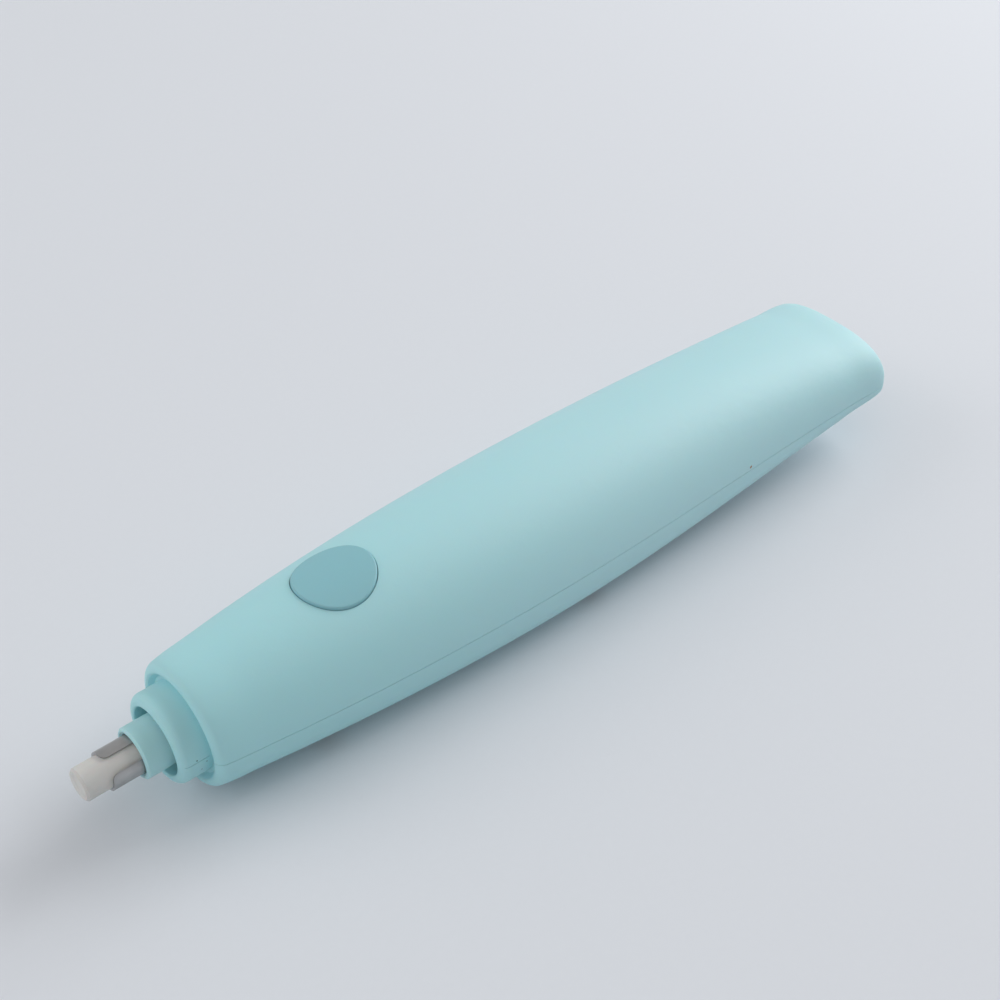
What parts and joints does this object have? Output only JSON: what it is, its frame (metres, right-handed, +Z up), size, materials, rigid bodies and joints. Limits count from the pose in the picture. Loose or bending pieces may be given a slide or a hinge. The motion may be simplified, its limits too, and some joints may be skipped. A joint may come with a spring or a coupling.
{
  "type": "electric eraser",
  "caption": "Battery-powered hand-held electric eraser: a two-shell casing with a press button, a battery door and a motor-driven collet that spins a stick eraser.",
  "frame": {"origin": "on the surface that the casing rests on, under the middle of the whole object's box", "axes": "+X runs from the nose to the tail along the spindle, and +Z is up, away from the surface that the casing rests on"},
  "size_m": [0.1516, 0.0286, 0.024],
  "materials": {
    "casing": "satin moulded",
    "button": "satin moulded",
    "sleeve": "satin moulded",
    "eraser": "matte vinyl",
    "steel": "brushed",
    "nickel": "nickel plated",
    "bronze": "sintered",
    "brass": "stamped",
    "copper": "enamelled",
    "ferrite": "matte ceramic",
    "board": "solder mask",
    "black_plastic": "moulded",
    "white_plastic": "moulded",
    "battery": "printed sleeve",
    "wire_red": "wire insulation",
    "wire_yellow": "wire insulation"
  },
  "bodies": {
    "casing": {"upper_shell": "casing", "lower_shell": "casing", "circuit_board": "board", "switch_body": "black_plastic", "spindle_bush": "bronze", "motor_can": "steel", "motor_front_bush": "bronze", "motor_rear_bush": "bronze", "motor_magnets": "ferrite", "motor_end_cap": "white_plastic", "motor_brushes": "ferrite", "motor_terminals": "brass", "battery_left": "battery", "battery_right": "battery", "positive_contact": "nickel", "negative_contact": "nickel", "negative_spring": "nickel", "bridge_contact": "nickel", "bridge_spring": "nickel", "case_screws": "nickel", "wire_red": "wire_red", "wire_switched": "wire_yellow", "wire_black": "black_plastic"},
    "battery_door": {"battery_door": "casing"},
    "button": {"button": "button"},
    "switch_plunger": {"switch_plunger": "black_plastic"},
    "spindle": {"motor_shaft": "steel", "armature_core": "steel", "armature_windings": "copper", "commutator": "copper", "shaft_washers": "white_plastic", "chuck_hub": "white_plastic", "collet": "steel", "nose_sleeve": "sleeve"},
    "eraser": {"eraser": "eraser"}
  },
  "joints": [
    {"name": "spindle_spin", "type": "hinge", "parent": "casing", "child": "spindle", "pos_m": [0, 0, 0.0112], "axis": [1, 0, 0], "continuous": true},
    {"name": "eraser_feed", "type": "slide", "parent": "spindle", "child": "eraser", "axis": [-1, 0, 0], "range_m": [0, 0.008]},
    {"name": "button_press", "type": "slide", "parent": "casing", "child": "button", "axis": [0, 0, -1], "range_m": [0, 0.0006], "stiffness_N_per_m": 1500, "springref_m": -0.0002},
    {"name": "plunger_press", "type": "slide", "parent": "casing", "child": "switch_plunger", "axis": [0, 0, -1], "range_m": [0, 0.0006]},
    {"name": "door_slide", "type": "slide", "parent": "casing", "child": "battery_door", "axis": [1, 0, 0], "range_m": [0, 0.008]}
  ],
  "couplings": [
    {"joint": "plunger_press", "follows": "button_press", "ratio": 1}
  ]
}
